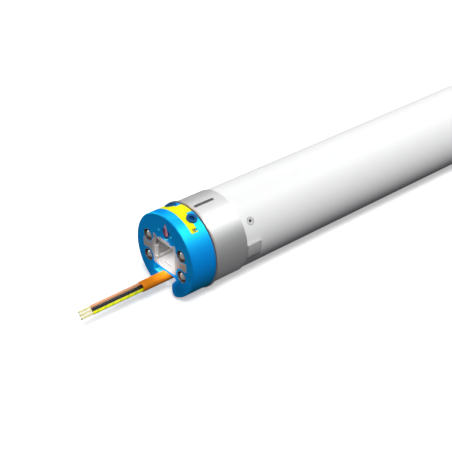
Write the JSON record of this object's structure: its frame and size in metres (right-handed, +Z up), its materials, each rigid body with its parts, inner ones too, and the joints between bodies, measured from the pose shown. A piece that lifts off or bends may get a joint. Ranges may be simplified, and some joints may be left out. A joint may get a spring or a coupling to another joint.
{
  "type": "tubular motor",
  "caption": "Tubular shutter motor: blue head with square die-cast socket, grey crown, white steel tube, planetary gearbox, short cable with bare cores.",
  "frame": {"origin": "middle of the head's front face, where the square socket opens", "axes": "+X along the tube, away from the head; +Z up, through the limit cover; -Y the side nearer the viewer"},
  "size_m": [0.5789, 0.0618, 0.0618],
  "materials": {
    "head_blue": "fine satin moulded plastic",
    "cover_yellow": "satin moulded plastic",
    "adjuster_blue": "satin moulded plastic",
    "die_cast": "as cast, slightly bright edges",
    "screw_steel": "bright plated",
    "crown_grey": "satin moulded plastic",
    "washer_grey": "satin moulded plastic",
    "white_paint": "smooth white paint",
    "button_rose": "glossy",
    "inner_plastic": "moulded",
    "switch_plastic": "moulded",
    "steel": "machined",
    "lamination": "stacked sheet",
    "copper": "enamelled copper wire",
    "bronze": "sintered",
    "nylon": "natural nylon",
    "can": "drawn can",
    "jacket_orange": "smooth cable sheath",
    "core_brown_pvc": "smooth insulation",
    "core_black_pvc": "smooth insulation",
    "core_striped_pvc": "yellow insulation with a green stripe",
    "bare_wire": "tinned strand"
  },
  "bodies": {
    "motor": {"head_housing": "head_blue", "head_plate": "die_cast", "head_screws": "screw_steel", "limit_cover": "cover_yellow", "setting_switch": "switch_plastic", "crown_washer": "washer_grey", "limit_housing": "inner_plastic", "limit_end_plate": "inner_plastic", "terminal_block": "inner_plastic", "guide_rods": "steel", "motor_tube": "white_paint", "tube_screws": "screw_steel", "capacitor": "can", "capacitor_holder": "inner_plastic", "motor_shields": "die_cast", "motor_bushes": "bronze", "stator_core": "lamination", "stator_winding": "copper", "brake_yoke": "steel", "brake_coil": "copper", "brake_spring": "steel", "ring_gear": "steel", "output_bush": "bronze", "end_cap": "die_cast", "cable_gland": "inner_plastic", "cable_jacket": "jacket_orange", "core_brown": "core_brown_pvc", "core_black": "core_black_pvc", "core_striped": "core_striped_pvc", "bare_ends": "bare_wire"},
    "crown": {"crown": "crown_grey"},
    "setting_button": {"setting_button": "button_rose"},
    "rotor": {"rotor_core": "lamination", "rotor_shaft": "steel", "brake_disc": "lamination"},
    "brake_armature": {"brake_armature": "steel"},
    "output": {"carrier_3": "steel", "output_shaft": "steel", "output_circlip": "steel"},
    "carrier_1": {"carrier_1": "steel"},
    "carrier_2": {"carrier_2": "steel"},
    "spindle_near": {"limit_spindle_near": "steel"},
    "nut_near": {"limit_nut_near": "nylon"},
    "adjuster_near": {"limit_adjuster_near": "adjuster_blue"},
    "carriage_near": {"switch_carriage_near": "inner_plastic", "limit_switch_near": "switch_plastic"},
    "spindle_far": {"limit_spindle_far": "steel"},
    "nut_far": {"limit_nut_far": "nylon"},
    "adjuster_far": {"limit_adjuster_far": "adjuster_blue"},
    "carriage_far": {"switch_carriage_far": "inner_plastic", "limit_switch_far": "switch_plastic"},
    "planet_1_1": {"planet_1_1": "nylon"},
    "planet_1_2": {"planet_1_2": "nylon"},
    "planet_1_3": {"planet_1_3": "nylon"},
    "planet_2_1": {"planet_2_1": "steel"},
    "planet_2_2": {"planet_2_2": "steel"},
    "planet_2_3": {"planet_2_3": "steel"},
    "planet_3_1": {"planet_3_1": "steel"},
    "planet_3_2": {"planet_3_2": "steel"},
    "planet_3_3": {"planet_3_3": "steel"}
  },
  "joints": [
    {"name": "crown_turn", "type": "hinge", "parent": "motor", "child": "crown", "pos_m": [0.034, 0, 0], "axis": [1, 0, 0], "range_deg": [-3600, 3600]},
    {"name": "spindle_near_turn", "type": "hinge", "parent": "motor", "child": "spindle_near", "pos_m": [0.027, -0.018, 0], "axis": [1, 0, 0], "range_deg": [-10800, 10800]},
    {"name": "nut_near_slide", "type": "slide", "parent": "motor", "child": "nut_near", "axis": [1, 0, 0], "range_m": [-0.012, 0.012]},
    {"name": "adjuster_near_turn", "type": "hinge", "parent": "motor", "child": "adjuster_near", "pos_m": [0.0147, -0.0092, 0.02324], "axis": [0, -0.3681, 0.9298], "range_deg": [-90.1, 90.1]},
    {"name": "carriage_near_slide", "type": "slide", "parent": "motor", "child": "carriage_near", "axis": [1, 0, 0], "range_m": [-0.00471, 0.00471]},
    {"name": "spindle_far_turn", "type": "hinge", "parent": "motor", "child": "spindle_far", "pos_m": [0.027, 0.018, 0], "axis": [1, 0, 0], "range_deg": [-10800, 10800]},
    {"name": "nut_far_slide", "type": "slide", "parent": "motor", "child": "nut_far", "axis": [1, 0, 0], "range_m": [-0.012, 0.012]},
    {"name": "adjuster_far_turn", "type": "hinge", "parent": "motor", "child": "adjuster_far", "pos_m": [0.0147, 0.0092, 0.02324], "axis": [0, 0.3681, 0.9298], "range_deg": [-90.1, 90.1]},
    {"name": "carriage_far_slide", "type": "slide", "parent": "motor", "child": "carriage_far", "axis": [1, 0, 0], "range_m": [-0.00471, 0.00471]},
    {"name": "setting_button_push", "type": "slide", "parent": "motor", "child": "setting_button", "axis": [1, 0, 0], "range_m": [0, 0.0008], "stiffness_N_per_m": 600},
    {"name": "rotor_turn", "type": "hinge", "parent": "motor", "child": "rotor", "pos_m": [0.188, 0, 0], "axis": [1, 0, 0], "continuous": true},
    {"name": "brake_release", "type": "slide", "parent": "motor", "child": "brake_armature", "axis": [1, 0, 0], "range_m": [0, 0.0004], "stiffness_N_per_m": 5000, "springref_m": -0.004},
    {"name": "carrier_1_turn", "type": "hinge", "parent": "motor", "child": "carrier_1", "pos_m": [0.3835, 0, 0], "axis": [1, 0, 0], "continuous": true},
    {"name": "planet_1_1_turn", "type": "hinge", "parent": "carrier_1", "child": "planet_1_1", "pos_m": [0.3855, 0, 0.01418], "axis": [1, 0, 0], "continuous": true},
    {"name": "planet_1_2_turn", "type": "hinge", "parent": "carrier_1", "child": "planet_1_2", "pos_m": [0.3855, -0.01228, -0.00709], "axis": [1, 0, 0], "continuous": true},
    {"name": "planet_1_3_turn", "type": "hinge", "parent": "carrier_1", "child": "planet_1_3", "pos_m": [0.3855, 0.01228, -0.00709], "axis": [1, 0, 0], "continuous": true},
    {"name": "carrier_2_turn", "type": "hinge", "parent": "motor", "child": "carrier_2", "pos_m": [0.4015, 0, 0], "axis": [1, 0, 0], "continuous": true},
    {"name": "planet_2_1_turn", "type": "hinge", "parent": "carrier_2", "child": "planet_2_1", "pos_m": [0.4035, 0, 0.01418], "axis": [1, 0, 0], "continuous": true},
    {"name": "planet_2_2_turn", "type": "hinge", "parent": "carrier_2", "child": "planet_2_2", "pos_m": [0.4035, -0.01228, -0.00709], "axis": [1, 0, 0], "continuous": true},
    {"name": "planet_2_3_turn", "type": "hinge", "parent": "carrier_2", "child": "planet_2_3", "pos_m": [0.4035, 0.01228, -0.00709], "axis": [1, 0, 0], "continuous": true},
    {"name": "output_turn", "type": "hinge", "parent": "motor", "child": "output", "pos_m": [0.4235, 0, 0], "axis": [1, 0, 0], "continuous": true},
    {"name": "planet_3_1_turn", "type": "hinge", "parent": "output", "child": "planet_3_1", "pos_m": [0.4255, 0, 0.01418], "axis": [1, 0, 0], "continuous": true},
    {"name": "planet_3_2_turn", "type": "hinge", "parent": "output", "child": "planet_3_2", "pos_m": [0.4255, -0.01228, -0.00709], "axis": [1, 0, 0], "continuous": true},
    {"name": "planet_3_3_turn", "type": "hinge", "parent": "output", "child": "planet_3_3", "pos_m": [0.4255, 0.01228, -0.00709], "axis": [1, 0, 0], "continuous": true}
  ],
  "couplings": [
    {"joint": "spindle_near_turn", "follows": "crown_turn", "ratio": 3},
    {"joint": "nut_near_slide", "follows": "crown_turn", "m_per_rad": 0.00019099},
    {"joint": "adjuster_near_turn", "follows": "carriage_near_slide", "rad_per_m": 333.33},
    {"joint": "spindle_far_turn", "follows": "crown_turn", "ratio": 3},
    {"joint": "nut_far_slide", "follows": "crown_turn", "m_per_rad": -0.00019099},
    {"joint": "adjuster_far_turn", "follows": "carriage_far_slide", "rad_per_m": -333.33},
    {"joint": "carrier_1_turn", "follows": "rotor_turn", "ratio": 0.21429},
    {"joint": "planet_1_1_turn", "follows": "rotor_turn", "ratio": -0.58929},
    {"joint": "planet_1_2_turn", "follows": "rotor_turn", "ratio": -0.58929},
    {"joint": "planet_1_3_turn", "follows": "rotor_turn", "ratio": -0.58929},
    {"joint": "carrier_2_turn", "follows": "rotor_turn", "ratio": 0.045918},
    {"joint": "planet_2_1_turn", "follows": "rotor_turn", "ratio": -0.12628},
    {"joint": "planet_2_2_turn", "follows": "rotor_turn", "ratio": -0.12628},
    {"joint": "planet_2_3_turn", "follows": "rotor_turn", "ratio": -0.12628},
    {"joint": "output_turn", "follows": "rotor_turn", "ratio": 0.0098397},
    {"joint": "planet_3_1_turn", "follows": "rotor_turn", "ratio": -0.027059},
    {"joint": "planet_3_2_turn", "follows": "rotor_turn", "ratio": -0.027059},
    {"joint": "planet_3_3_turn", "follows": "rotor_turn", "ratio": -0.027059}
  ]
}
